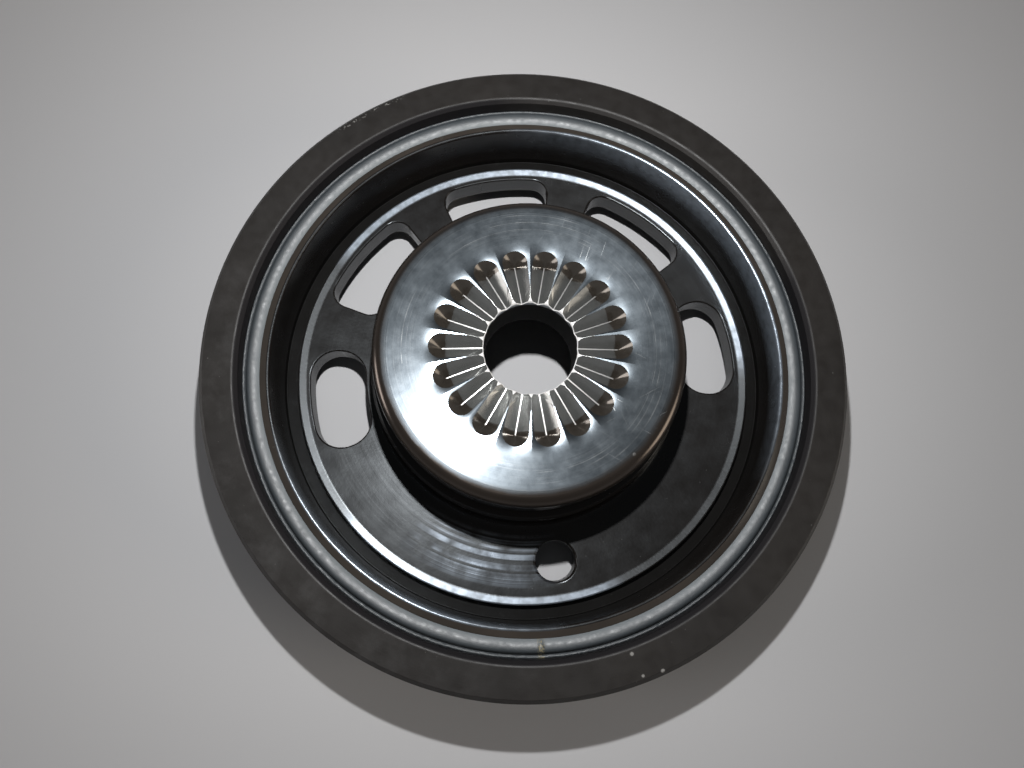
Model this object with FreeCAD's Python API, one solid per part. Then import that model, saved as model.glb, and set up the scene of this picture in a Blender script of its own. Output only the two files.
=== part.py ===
import FreeCAD, Part
import math
import os

# Crankshaft belt pulley with a torsional damper, in millimetres.
# The axis is Z. The front face rests on Z = 0 and the engine side, with the nose, points up.
# +Y is the middle of the slot pattern in the web, and the small round hole lies on -Y.

# Outer ring that carries the belt. The wall is what is left under the roots of the ribs.
PULLEY_DIAMETER = 148.0
RING_WALL = 4.5
RING_FLANGE = 2.82
RING_EDGE_CHAMFER = 1.0
RING_BORE_CHAMFER = 0.9

# Ribbed belt track, which lies a step below the flanges.
RIB_COUNT = 6
RIB_PITCH = 3.56
RIB_DEPTH = 2.9
RIB_FLANK_ANGLE = 20.0
RIB_CREST_WIDTH = 0.9
TRACK_STEP = 1.1

# Rubber between the ring and the hub, with a rounded bead beside a low outer foot.
RUBBER_THICKNESS = 4.0
RUBBER_TOP_RECESS = 4.2
RUBBER_BOTTOM_RECESS = 3.0
BEAD_FOOT = 0.9
BEAD_RISE = 1.5

# Rim of the hub, which the rubber is moulded to.
RIM_THICKNESS = 2.3
RIM_TOP_RECESS = 3.0
RIM_LAND_DROP = 0.8
RIM_DRAFT = 0.3
RIM_EDGE_RADIUS = 0.6
RIM_BOTTOM_RECESS = 1.0
RIM_EDGE_CHAMFER = 0.4

# Web of the hub, with a low raised lip at its edge and a narrow turned channel at the rim's foot.
WEB_HEIGHT = 11.7
WEB_THICKNESS = 5.7
WEB_FILLET = 2.0
WEB_LIP_WIDTH = 1.9
WEB_LIP_RISE = 0.6
WEB_EDGE_RADIUS = 0.4
CHANNEL_WIDTH = 3.3
CHANNEL_DEPTH = 2.0

# Slots in the web: three long ones, and a rounder one at each side. Angles are their spans.
SLOT_STEP_ANGLE = 45.0
UPPER_SLOT_ANGLE = 31.8
UPPER_SLOT_CORNER = 4.0
SIDE_SLOT_ANGLE = 30.0
SIDE_SLOT_CORNER = 6.4
SLOT_NECK_LAND = 2.6
SLOT_RIM_LAND = 3.0
SLOT_EDGE_BREAK = 0.4

# Small round hole opposite the middle slot.
HOLE_DIAMETER = 9.4
HOLE_CHAMFER = 0.6

# Nose: a sealing journal that ends in a shoulder with a relief groove at its foot.
NOSE_HEIGHT = 35.4
NOSE_DIAMETER = 69.2
NOSE_EDGE_RADIUS = 2.4
JOURNAL_LENGTH = 13.5
RELIEF_WIDTH = 1.2
RELIEF_DEPTH = 0.5
SHOULDER_WIDTH = 2.0
SHOULDER_CHAMFER = 0.6

# Bolt passage and the recess for the bolt's head, inside a boss on the front.
BORE_DIAMETER = 20.6
BORE_CHAMFER = 1.05
CLAMP_LENGTH = 13.4
BOLT_RECESS_DIAMETER = 38.0
BOSS_WALL = 9.0
BOSS_RECESS = 1.5
BOSS_CHAMFER = 0.8
BOSS_FILLET = 2.0

# Radial V serration on the nose face, whose grooves deepen outwards and end in conical pits.
SERRATION_COUNT = 18
SERRATION_TURN = 1.4
SERRATION_FLANK_ANGLE = 45.0
SERRATION_ROOT_WIDTH = 0.4
SERRATION_INNER_DEPTH = 2.0
SERRATION_OUTER_DEPTH = 2.7
PIT_CIRCLE_RADIUS = 19.45
PIT_RADIUS = 2.9

# How far a cutting shape runs past the surface that it cuts, and the largest part of a side that
# a rounded corner may take up.
CUT_MARGIN = 1.0
CORNER_LIMIT = 0.97

pulley_radius = PULLEY_DIAMETER / 2
track_radius = pulley_radius - TRACK_STEP
rib_root_radius = track_radius - RIB_DEPTH
ring_bore_radius = rib_root_radius - RING_WALL
ring_width = RIB_COUNT * RIB_PITCH + 2 * RING_FLANGE
rim_outer_radius = ring_bore_radius - RUBBER_THICKNESS
rim_inner_radius = rim_outer_radius - RIM_THICKNESS
rim_foot_radius = rim_inner_radius - RIM_DRAFT
web_edge_radius = rim_foot_radius - CHANNEL_WIDTH
web_bottom = WEB_HEIGHT - WEB_THICKNESS
nose_radius = NOSE_DIAMETER / 2
neck_radius = nose_radius + SHOULDER_WIDTH
bore_radius = BORE_DIAMETER / 2
slot_inner_radius = neck_radius + SLOT_NECK_LAND
slot_outer_radius = web_edge_radius - SLOT_RIM_LAND
hole_circle_radius = (neck_radius + web_edge_radius) / 2
origin = FreeCAD.Vector(0, 0, 0)
axis = FreeCAD.Vector(0, 0, 1)


def at(r, z):
    """Point of a half section: radius and height."""
    return FreeCAD.Vector(r, 0, z)


def polar(r, degrees):
    """Point at a radius and an angle from +X."""
    a = math.radians(degrees)
    return FreeCAD.Vector(r * math.cos(a), r * math.sin(a), 0)


def mirrored(v):
    """The point on the other side of the XZ plane."""
    return FreeCAD.Vector(v.x, -v.y, v.z)


def arc(a, middle, b):
    return Part.Arc(a, middle, b).toShape()


def spun(shape, degrees):
    """Copy of a shape turned about the pulley's axis."""
    copy = shape.copy()
    copy.rotate(origin, axis, degrees)
    return copy


def turned(edges):
    """Solid of revolution about Z from the edges of a closed half section."""
    solid = Part.Face(Part.Wire(edges)).revolve(origin, axis, 360)
    return solid if solid.Volume > 0 else solid.reversed()


def rounded_corner(before, here, after, radius):
    """Start, middle and end of the arc that rounds a corner, kept within the sides beside it."""
    if radius <= 0:
        return here, None, here
    u = (before - here).normalize()
    v = (after - here).normalize()
    half = u.getAngle(v) / 2
    room = CORNER_LIMIT * min((before - here).Length, (after - here).Length)
    reach = min(radius / math.tan(half), room)
    radius = reach * math.tan(half)
    bisector = (u + v).normalize()
    centre = here + bisector * (radius / math.sin(half))
    return here + u * reach, centre - bisector * radius, here + v * reach


def half_section(corners):
    """Edges of a closed half section. A corner is (r, z), or (r, z, radius) where it is rounded."""
    points = [at(corner[0], corner[1]) for corner in corners]
    count = len(points)
    joints = []
    for i, corner in enumerate(corners):
        radius = corner[2] if len(corner) > 2 else 0
        joints.append(rounded_corner(points[i - 1], points[i], points[(i + 1) % count], radius))
    edges = []
    for i, (start, middle, end) in enumerate(joints):
        if middle is not None:
            edges.append(arc(start, middle, end))
        edges.append(Part.makeLine(end, joints[(i + 1) % count][0]))
    return edges


def belt_track():
    """Half section corners of the ribbed track, from the lower flange to the upper one."""
    lean = RIB_DEPTH * math.tan(math.radians(RIB_FLANK_ANGLE))
    half_crest = RIB_CREST_WIDTH / 2
    corners = [(pulley_radius, RING_FLANGE - TRACK_STEP), (track_radius, RING_FLANGE)]
    for i in range(RIB_COUNT):
        low = RING_FLANGE + i * RIB_PITCH
        high = low + RIB_PITCH
        corners.append((track_radius, low + half_crest))
        corners.append((rib_root_radius, low + half_crest + lean))
        corners.append((rib_root_radius, high - half_crest - lean))
        corners.append((track_radius, high - half_crest))
    corners.append((track_radius, ring_width - RING_FLANGE))
    corners.append((pulley_radius, ring_width - RING_FLANGE + TRACK_STEP))
    return corners


def make_belt_ring():
    edge = RING_EDGE_CHAMFER
    mouth = RING_BORE_CHAMFER
    lower = [
        (ring_bore_radius, mouth),
        (ring_bore_radius + mouth, 0),
        (pulley_radius - edge, 0),
        (pulley_radius, edge),
    ]
    upper = [
        (pulley_radius, ring_width - edge),
        (pulley_radius - edge, ring_width),
        (ring_bore_radius + mouth, ring_width),
        (ring_bore_radius, ring_width - mouth),
    ]
    return turned(half_section(lower + belt_track() + upper))


def make_rubber_ring():
    top = ring_width - RUBBER_TOP_RECESS
    low = RUBBER_BOTTOM_RECESS
    bead_outer = ring_bore_radius - BEAD_FOOT
    crown = at((rim_outer_radius + bead_outer) / 2, top + BEAD_RISE)
    edges = [
        Part.makeLine(at(rim_outer_radius, top), at(rim_outer_radius, low)),
        Part.makeLine(at(rim_outer_radius, low), at(ring_bore_radius, low)),
        Part.makeLine(at(ring_bore_radius, low), at(ring_bore_radius, top)),
        Part.makeLine(at(ring_bore_radius, top), at(bead_outer, top)),
        arc(at(bead_outer, top), crown, at(rim_outer_radius, top)),
    ]
    return turned(edges)


def hub_blank():
    """The hub turned all over, before its slots, hole and serration are cut."""
    shoulder = NOSE_HEIGHT - JOURNAL_LENGTH
    relief_radius = nose_radius - RELIEF_DEPTH
    seat = NOSE_HEIGHT - CLAMP_LENGTH
    nose = [
        (bore_radius, seat),
        (bore_radius, NOSE_HEIGHT - BORE_CHAMFER),
        (bore_radius + BORE_CHAMFER, NOSE_HEIGHT),
        (nose_radius, NOSE_HEIGHT, NOSE_EDGE_RADIUS),
        (nose_radius, shoulder + RELIEF_WIDTH),
        (relief_radius, shoulder + RELIEF_WIDTH - RELIEF_DEPTH),
        (relief_radius, shoulder),
        (neck_radius - SHOULDER_CHAMFER, shoulder),
        (neck_radius, shoulder - SHOULDER_CHAMFER),
    ]
    web_and_rim = [
        (neck_radius, WEB_HEIGHT, WEB_FILLET),
        (web_edge_radius - WEB_LIP_WIDTH, WEB_HEIGHT),
        (web_edge_radius, WEB_HEIGHT + WEB_LIP_RISE, WEB_EDGE_RADIUS),
        (web_edge_radius, WEB_HEIGHT - CHANNEL_DEPTH),
        (rim_foot_radius, WEB_HEIGHT - CHANNEL_DEPTH),
        (rim_inner_radius, ring_width - RIM_TOP_RECESS, RIM_EDGE_RADIUS),
        (rim_outer_radius, ring_width - RIM_TOP_RECESS - RIM_LAND_DROP),
        (rim_outer_radius, RIM_BOTTOM_RECESS + RIM_EDGE_CHAMFER),
        (rim_outer_radius - RIM_EDGE_CHAMFER, RIM_BOTTOM_RECESS),
        (rim_foot_radius, RIM_BOTTOM_RECESS),
        (rim_foot_radius, web_bottom, WEB_FILLET),
    ]
    recess_radius = BOLT_RECESS_DIAMETER / 2
    boss_radius = recess_radius + BOSS_WALL
    boss = [
        (boss_radius, web_bottom, BOSS_FILLET),
        (boss_radius, BOSS_RECESS + BOSS_CHAMFER),
        (boss_radius - BOSS_CHAMFER, BOSS_RECESS),
        (recess_radius + BOSS_CHAMFER, BOSS_RECESS),
        (recess_radius, BOSS_RECESS + BOSS_CHAMFER),
        (recess_radius, seat),
    ]
    return turned(half_section(nose + web_and_rim + boss))


def slot_outline(grow, span, corner, z):
    """Kidney outline about +X: two arcs about the axis, two radial ends and rounded corners."""
    inner = slot_inner_radius - grow
    outer = slot_outer_radius + grow
    corner = min(corner + grow, CORNER_LIMIT * (outer - inner) / 2)
    middle_radius = (inner + outer) / 2
    half = span / 2 + math.degrees(grow / middle_radius)

    def turn(side_radius, centre_radius):
        """Corner between a round side and a radial end: its point on the side, middle and end."""
        bearing = half - math.degrees(math.asin(corner / centre_radius))
        centre = polar(centre_radius, bearing)
        side = polar(side_radius, bearing)
        end = polar(math.sqrt(centre_radius ** 2 - corner ** 2), half)
        middle = centre + ((side - centre) + (end - centre)).normalize() * corner
        return side, middle, end

    outer_side, outer_middle, outer_end = turn(outer, outer - corner)
    inner_side, inner_middle, inner_end = turn(inner, inner + corner)
    wire = Part.Wire([
        arc(mirrored(outer_side), polar(outer, 0), outer_side),
        arc(outer_side, outer_middle, outer_end),
        Part.makeLine(outer_end, inner_end),
        arc(inner_end, inner_middle, inner_side),
        arc(inner_side, polar(inner, 0), mirrored(inner_side)),
        arc(mirrored(inner_side), mirrored(inner_middle), mirrored(inner_end)),
        Part.makeLine(mirrored(inner_end), mirrored(outer_end)),
        arc(mirrored(outer_end), mirrored(outer_middle), mirrored(outer_side)),
    ])
    wire.translate(FreeCAD.Vector(0, 0, z))
    return wire


def slot_cutter(span, corner):
    """Cut straight through the web, with a small broken edge at the web's upper face."""
    low = slot_outline(0, span, corner, web_bottom - CUT_MARGIN)
    through = Part.Face(low).extrude(FreeCAD.Vector(0, 0, WEB_THICKNESS + 2 * CUT_MARGIN))
    edge_low = slot_outline(0, span, corner, WEB_HEIGHT - SLOT_EDGE_BREAK)
    edge_high = slot_outline(SLOT_EDGE_BREAK + CUT_MARGIN, span, corner, WEB_HEIGHT + CUT_MARGIN)
    return through.fuse(Part.makeLoft([edge_low, edge_high], True, True))


def hole_cutter():
    """Round hole through the web on -Y, with a chamfer at the web's upper face."""
    radius = HOLE_DIAMETER / 2
    drill = turned(half_section([
        (0, web_bottom - CUT_MARGIN),
        (radius, web_bottom - CUT_MARGIN),
        (radius, WEB_HEIGHT - HOLE_CHAMFER),
        (radius + HOLE_CHAMFER + CUT_MARGIN, WEB_HEIGHT + CUT_MARGIN),
        (0, WEB_HEIGHT + CUT_MARGIN),
    ]))
    drill.translate(polar(hole_circle_radius, -90))
    return drill


def groove_profile(r):
    """Trapezium across one serration groove, at a radius along +X."""
    slope = math.tan(math.radians(SERRATION_FLANK_ANGLE))
    share = (PIT_CIRCLE_RADIUS - r) / (PIT_CIRCLE_RADIUS - bore_radius)
    depth = SERRATION_OUTER_DEPTH - share * (SERRATION_OUTER_DEPTH - SERRATION_INNER_DEPTH)
    half_root = SERRATION_ROOT_WIDTH / 2
    half_top = half_root + (depth + CUT_MARGIN) * slope
    low = FreeCAD.Vector(r, half_root, NOSE_HEIGHT - depth)
    high = FreeCAD.Vector(r, half_top, NOSE_HEIGHT + CUT_MARGIN)
    return Part.makePolygon([mirrored(low), low, high, mirrored(high), mirrored(low)])


def groove_cutter():
    """One radial V groove about +X, with the conical pit at its outer end."""
    ends = [groove_profile(bore_radius - CUT_MARGIN), groove_profile(PIT_CIRCLE_RADIUS)]
    slope = math.tan(math.radians(SERRATION_FLANK_ANGLE))
    half_root = SERRATION_ROOT_WIDTH / 2
    depth = (PIT_RADIUS - half_root) / slope
    tip = FreeCAD.Vector(PIT_CIRCLE_RADIUS, 0, NOSE_HEIGHT - depth)
    pit = Part.makeCone(half_root, PIT_RADIUS + CUT_MARGIN * slope, depth + CUT_MARGIN, tip, axis)
    return Part.makeLoft(ends, True, True).fuse(pit)


def make_hub():
    hub = hub_blank().cut(hole_cutter())
    long_slot = slot_cutter(UPPER_SLOT_ANGLE, UPPER_SLOT_CORNER)
    round_slot = slot_cutter(SIDE_SLOT_ANGLE, SIDE_SLOT_CORNER)
    slots = [(round_slot, -2), (long_slot, -1), (long_slot, 0), (long_slot, 1), (round_slot, 2)]
    for slot, place in slots:
        hub = hub.cut(spun(slot, 90 + place * SLOT_STEP_ANGLE))
    groove = groove_cutter()
    for i in range(SERRATION_COUNT):
        hub = hub.cut(spun(groove, 90 + SERRATION_TURN + i * 360 / SERRATION_COUNT))
    return hub


def save(name, shape):
    """Write one node, which has to be one valid solid."""
    solids = shape.Solids
    if len(solids) != 1 or not solids[0].isValid():
        raise ValueError(name + " is not one valid solid")
    solids[0].exportStep("parts/" + name + ".step")
    print(name, "volume", round(solids[0].Volume), "faces", len(solids[0].Faces))


os.makedirs("parts", exist_ok=True)
save("hub", make_hub())
save("rubber_ring", make_rubber_ring())
save("belt_ring", make_belt_ring())
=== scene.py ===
import math
from functools import reduce

import bpy
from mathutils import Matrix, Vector, noise
from mathutils.geometry import delaunay_2d_cdt


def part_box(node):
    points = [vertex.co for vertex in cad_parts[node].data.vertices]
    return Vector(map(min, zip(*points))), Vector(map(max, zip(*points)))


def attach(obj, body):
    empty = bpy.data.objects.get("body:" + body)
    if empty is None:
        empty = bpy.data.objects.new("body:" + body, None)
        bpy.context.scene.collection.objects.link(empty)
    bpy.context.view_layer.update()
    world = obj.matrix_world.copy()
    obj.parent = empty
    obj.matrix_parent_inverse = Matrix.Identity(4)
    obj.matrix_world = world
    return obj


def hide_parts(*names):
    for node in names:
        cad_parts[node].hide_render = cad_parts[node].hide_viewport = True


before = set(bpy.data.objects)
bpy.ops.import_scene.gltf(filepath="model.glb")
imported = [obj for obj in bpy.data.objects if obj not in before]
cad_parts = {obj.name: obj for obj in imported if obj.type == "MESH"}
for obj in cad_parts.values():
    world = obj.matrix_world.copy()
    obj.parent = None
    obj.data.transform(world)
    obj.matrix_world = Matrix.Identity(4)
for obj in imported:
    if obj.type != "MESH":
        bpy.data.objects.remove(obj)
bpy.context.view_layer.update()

MM = 0.001
SIZE_DIGITS = 3

# Camera, where the photograph was taken from.
CAMERA_PLACE = (-16.17, -40.47, 182.86)
CAMERA_TURN = (12.964, -2.212, -8.8)
FOCAL_LENGTH = 24.96
SENSOR_WIDTH = 36.0
CLIP_START = 10.0

# Lamp close to the camera.
LAMP_PLACE = (-6.0, 22.8, 183.0)
LAMP_WIDTH = 5.0
LAMP_POWER = 0.29

# Light of walls and ceiling, and the Z of a direction where the walls end and the ceiling starts.
WALL_COLOR = (0.95, 0.97, 1.0, 1)
HORIZON_LEVEL = 0.26
CEILING_LEVEL = 0.065
HORIZON_TOP = 0.12
CEILING_START = 0.60

# Soft bright panels round the room: bearing, rise and half width in degrees, colour and strength.
PANELS = (
    (172, 13, 14, (1.0, 0.95, 0.92, 1), 6.0),
    (-23, 20, 17, (1.0, 0.88, 0.74, 1), 4.0),
)
PANEL_CORE = 0.55

# Floor, and the radii between which the camera sees it run out into the backdrop.
BACKDROP_GREY = (0.52, 0.52, 0.53, 1.0)
FLOOR_GREY = (0.60, 0.60, 0.61, 1.0)
FLOOR_FADE = (220.0, 700.0)
FLOOR_REACH = 1200.0


def reach(node, side, axis):
    """Lowest or highest reach of a solid along an axis, in millimetres."""
    return round(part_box(node)[side][axis] / MM, SIZE_DIGITS)


# Overall sizes, read from the solids.
pulley_radius = reach("belt_ring", 1, 0)
ring_width = reach("belt_ring", 1, 2)
ring_bore = reach("rubber_ring", 1, 0)
rubber_bottom = reach("rubber_ring", 0, 2)
rim_radius = reach("hub", 1, 0)
rim_bottom = reach("hub", 0, 2)
nose_height = reach("hub", 1, 2)

# Outer ring and its ribbed track.
RING_FLANGE = 2.82
RING_EDGE_CHAMFER = 1.0
RING_BORE_CHAMFER = 0.9
RING_MOUTH_ROUND = 1.1
RIB_COUNT = 6
RIB_PITCH = 3.56
RIB_DEPTH = 2.9
RIB_FLANK_ANGLE = 20
RIB_CREST = 0.9
TRACK_STEP = 1.1
CREST_ROUND = 0.3
ROOT_ROUND = 0.2

# Rubber bead and the low foot beside it.
RUBBER_TOP_RECESS = 4.2
BEAD_FOOT = 0.9
BEAD_CROWN_RADIUS = 63.7
BEAD_CROWN_RISE = 0.75
BEAD_STEPS = 14
BEAD_FALL_STEPS = 7
FLASH_RISE = 0.34
JOINT_BEARING = -96.5
JOINT_RISE = 0.35
JOINT_WIDTH = 0.35

# Flash line on the foot: shares of the foot's width, each with its share of the line's height.
FLASH_LINE = ((0.58, 0.0), (0.70, 0.7), (0.78, 1.0), (0.86, 0.7), (0.96, 0.0))

# How uneven bead and flash line are round the ring: height, fineness and layer of each noise.
BEAD_SWELLS = ((0.05, 3.0, 0.3), (0.03, 14.0, 1.7))
FLASH_SWELLS = ((0.6, 60.0, 4.1), (0.35, 200.0, 7.7))
FLASH_MEAN = 0.45

# Thin rim and slotted web of the hub.
RIM_INNER = 59.2
RIM_EDGE_RADIUS = 0.6
RIM_TOP_RECESS = 3.0
RIM_LAND_DROP = 0.8
RIM_FOOT = 58.9
RIM_EDGE_CHAMFER = 0.4
WEB_TOP = 11.7
WEB_BOTTOM = 6.0
WEB_EDGE = 55.6
WEB_LIP_WIDTH = 1.9
WEB_LIP_RISE = 0.6
WEB_LIP_FILLET = 1.5
WEB_LIP_ROOM = 0.3
WEB_EDGE_RADIUS = 0.4
WEB_FILLET = 2.0
CHANNEL_DEPTH = 2.0
SLOT_INNER = 39.2
SLOT_OUTER = 52.6
SLOT_STEP = 45
UPPER_SLOT_SPAN = 31.8
UPPER_SLOT_CORNER = 4.0
SIDE_SLOT_SPAN = 30
SIDE_SLOT_CORNER = 6.4
HOLE_CIRCLE = 46.1
HOLE_RADIUS = 4.7
SLOT_BREAK = 0.4
HOLE_BREAK = 0.6
UNDER_BREAK = 0.15

# Neck, nose and the passage through them.
NECK_RADIUS = 36.6
NOSE_RADIUS = 34.6
NOSE_EDGE_RADIUS = 2.4
NOSE_CROWN = 31.2
NOSE_CROWN_DROP = 0.12
NOSE_CROWN_ROUND = 5.0
SHOULDER = 21.9
SHOULDER_CHAMFER = 0.6
RELIEF_WIDTH = 1.2
RELIEF_DEPTH = 0.5
BORE_RADIUS = 10.3
RIDGE_END = 1.6
RIDGE_END_DEPTH = 0.72
RIDGE_END_TILT = 0.05
RIDGE_END_TOP = 0.30
BORE_LINE = 0.18
BORE_LINE_SLOPE = 1.2
BORE_LEVEL = 3.0
CLAMP_LENGTH = 13.4
RECESS_RADIUS = 19.0
BOSS_RADIUS = 28.0
BOSS_RECESS = 1.5
BOSS_CHAMFER = 0.8

# Serration on the nose's face: grooves that end in conical pits, with rolled edges.
SERRATION_COUNT = 18
SERRATION_TURN = 1.4
SERRATION_RIM = 26.3
PIT_CIRCLE = 19.45
PIT_RADIUS = 2.9
GROOVE_ROOT = 0.12
GROOVE_INNER_DEPTH = 2.08
GROOVE_OUTER_DEPTH = 2.78
RIDGE_ROUND = 0.16
ROLL_DEPTH = 0.11
ROLL_WIDTH = 3.6
ROLL_SHARES = (0.04, 0.1, 0.2, 0.35, 0.55, 0.8)

rubber_top = ring_width - RUBBER_TOP_RECESS
rubber_seam = ring_width - RIM_TOP_RECESS - RIM_LAND_DROP
half_sector = math.pi / SERRATION_COUNT
tip_radius = PIT_RADIUS - ROLL_DEPTH

# How finely the shapes are divided.
HUB_STEPS = 540
RING_STEPS = 540
RUBBER_STEPS = 1080
ARC_STEP = math.radians(20)
EDGE_BREAK = 0.18
BORDER_STEPS = 28
EDGE_STEPS = 24
FACET_STEPS = 5
ROUND_STEPS = 40
CONE_STEPS = 24
CONE_SHARES = (0.25, 0.5, 0.75)
SLOT_SIDE_STEPS = 40
SLOT_CORNER_STEPS = 14
HOLE_STEPS = 96
BREAK_STEPS = 4
sector_steps = HUB_STEPS // SERRATION_COUNT

# Smallest distances that matter, in millimetres, and decimals that a point is rounded to.
DIGITS = 4
MERGE_DISTANCE = 1e-5
BORDER_MARGIN = 1e-6
BORDER_CLEARANCE = 0.05
SLOPE_STEP = 1e-4
HALVINGS = 50

# Material slots of the hub's mesh.
COAT, STEEL, PIT, ROOT, GLINT_FACET = 0, 1, 2, 3, 4

# Heights and radii between which one finish, or a painted shade or sheen, runs out into the next.
CHANNEL_HEIGHTS = (11.6, 11.2)
RIM_LAND_HEIGHTS = (12.0, 12.3)
RIM_EDGE_HEIGHTS = (12.9, 13.3)
NOSE_EDGE_HEIGHTS = (32.2, 33.2)
NOSE_FACE_HEIGHTS = (32.6, 33.4)
NOSE_FACE_RADII = (33.2, 31.8)
BORE_SHADE_HEIGHTS = (34.5, 32.6)
BORE_SHADE_RADII = (10.6, 10.4)
GROOVE_WORN_RADII = (18.65, 18.85)
RUBBER_SHEEN_RADII = (63.0, 61.8)

# Sides of the pulley, each as a bearing and how far it spreads, in degrees.
RING_PALE_SIDE = (200, 75)
MOUTH_GLINT_SIDE = (48, 40)
# Worn coat that is also painted highlight: a patch of the web, the lip away from its dull sides, and the
# rim's edge.
RUBBED_GLINT_SIDE = (-112, 24)
RUBBED_GLINT_RADII = (42, 50)
UNWORN_DULL_LIP_SIDES = ((175, 40), (318, 38))
WORN_GLINT_RIM_SIDE = (25, 62)
HALF_WORN_GLINT_RIM_SIDE = (228, 42)

# Marks: chips of the ring's coat and the nose's bright spot as x, y, size and softness, and the frayed
# edge.
RING_CHIPS = ((11.2, -66.6, 0.25, 0.25), (12.7, -71.2, 0.2, 0.2), (17.0, -70.9, 0.3, 0.2))
NOSE_BRIGHT_SPOT = (17.8, -26.5, 0.28, 0.2)
FRAY_BEARINGS = (108, 118)
FRAY_RADII = (72.2, 73.1)

# Thin scratched arcs on the nose's face: radius, and the bearings that each runs between.
SCRATCHED_ARCS = ((27.3, -92, 4), (27.5, 2, 62), (27.2, 66, 118), (28.3, -70, -8), (26.6, 30, 75),
                  (28.9, 48, 96), (27.9, 150, 206), (29.8, -60, -30), (30.6, 60, 88))

# Straight scratches across it: turn, fineness, and the side that they lie on.
SCRATCHES = ((38, 5.5, (-38, 46)), (-20, 6.0, (-42, 40)), (75, 5.0, (-46, 34)), (-62, 6.0, (42, 44)),
             (-48, 5.0, (50, 40)))
SCRATCH_DRAW = 0.06
SCRATCH_CUTS = (0.745, 0.785)

# Colours of the finishes, and of the painted shade, sheen and highlights, as linear red, green and blue,
# with the darker of two tones first.
WHITE = (1, 1, 1, 1)
RING_TONES = ((0.0080, 0.0068, 0.0060, 1), (0.0200, 0.0168, 0.0145, 1))
RING_PALE_PATCH = (0.050, 0.048, 0.047, 1)
RING_SPECK = (0.16, 0.155, 0.15, 1)
RING_BARE = (0.42, 0.41, 0.39, 1)
RING_MOUTH_SHADE = (0.012, 0.011, 0.012, 1)
COAT_TONES = ((0.0050, 0.0036, 0.0028, 1), (0.0115, 0.0090, 0.0074, 1))
COAT_SPECK = (0.24, 0.24, 0.235, 1)
COAT_BARE_GLINT = (0.27, 0.31, 0.36, 1)
COAT_TINT = (0.88, 0.95, 1.0, 1)
LAND_TONES = ((0.028, 0.023, 0.019, 1), (0.070, 0.058, 0.048, 1))
EDGE_TONES = ((0.040, 0.032, 0.027, 1), (0.080, 0.064, 0.053, 1))
SHADE_BLACK = (0.004, 0.0035, 0.003, 1)
STEEL_TONES = ((0.095, 0.112, 0.128, 1), (0.140, 0.158, 0.172, 1))
STEEL_SCRATCH = (0.62, 0.63, 0.62, 1)
STEEL_BRIGHT_SPOT = (0.9, 0.9, 0.88, 1)
PIT_TONES = ((0.048, 0.041, 0.034, 1), (0.085, 0.074, 0.062, 1))
FLANK_TONES = ((0.16, 0.165, 0.16, 1), (0.25, 0.255, 0.25, 1))
FLANK_BRUSHED = (0.29, 0.285, 0.28, 1)
ROOT_TONES = ((0.38, 0.37, 0.36, 1), (0.62, 0.61, 0.60, 1))
# Painted highlight on the ends of the ridges and the edge round the bore.
FACET_GLINT_TONES = ((0.80, 0.79, 0.78, 1), (0.95, 0.94, 0.93, 1))
RUBBER_TONES = ((0.034, 0.041, 0.046, 1), (0.064, 0.074, 0.082, 1))
RUBBER_PAINTED_SHEEN = (0.150, 0.170, 0.180, 1)
RUBBER_SPECK = (0.24, 0.25, 0.25, 1)
RUBBER_JOINT = (0.24, 0.21, 0.13, 1)


def link(obj):
    bpy.context.scene.collection.objects.link(obj)


def polar(r, angle):
    return (r * math.cos(angle), r * math.sin(angle))


def spread(low, high, steps):
    """Even steps from one value to another, with both ends."""
    return [low + (high - low) * i / steps for i in range(steps + 1)]


def fan(half, steps):
    """Even steps from minus to plus an angle, with both ends."""
    return [half * (2 * i / steps - 1) for i in range(steps + 1)]


def all_round(steps):
    """Evenly spaced angles all the way round."""
    return [2 * math.pi * i / steps for i in range(steps)]


def solve(function, low, high):
    """Where a function that is positive at low turns negative, between low and high."""
    for _ in range(HALVINGS):
        middle = (low + high) / 2
        if function(middle) > 0:
            low = middle
        else:
            high = middle
    return (low + high) / 2


class Shell:
    """Mesh in the making: faces whose corners carry their own normals, joined where they meet."""

    def __init__(self):
        self.points = []
        self.index = {}
        self.faces = []
        self.normals = []
        self.slots = []

    def corner(self, point):
        key = tuple(round(v * 10 ** DIGITS) for v in point)
        if key not in self.index:
            self.index[key] = len(self.points)
            self.points.append([v * MM for v in point])
        return self.index[key]

    def face(self, corners, slot=0):
        """Add a face from (point, normal) pairs, turned so that it looks along its normals."""
        ring = []
        for point, normal in corners:
            k = self.corner(point)
            if k not in [entry[0] for entry in ring]:
                ring.append((k, Vector(normal), Vector(point)))
        if len(ring) < 3:
            return
        across = (ring[1][2] - ring[0][2]).cross(ring[2][2] - ring[1][2])
        if len(ring) == 4:
            across += (ring[3][2] - ring[2][2]).cross(ring[0][2] - ring[3][2])
        if across.dot(sum((entry[1] for entry in ring), Vector())) < 0:
            ring.reverse()
        self.faces.append([entry[0] for entry in ring])
        self.normals.extend(entry[1].normalized() for entry in ring)
        self.slots.append(slot)

    def build(self, name, materials):
        mesh = bpy.data.meshes.new(name)
        mesh.from_pydata(self.points, [], self.faces)
        mesh.polygons.foreach_set("use_smooth", [True] * len(self.faces))
        mesh.polygons.foreach_set("material_index", self.slots)
        mesh.normals_split_custom_set(self.normals)
        for material in materials:
            mesh.materials.append(material)
        obj = bpy.data.objects.new(name, mesh)
        link(obj)
        return obj


def bearings(count):
    """Cosine and sine of evenly spaced bearings, which start in line with the serration."""
    return [polar(1, math.radians(SERRATION_TURN) + a) for a in all_round(count)]


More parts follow.
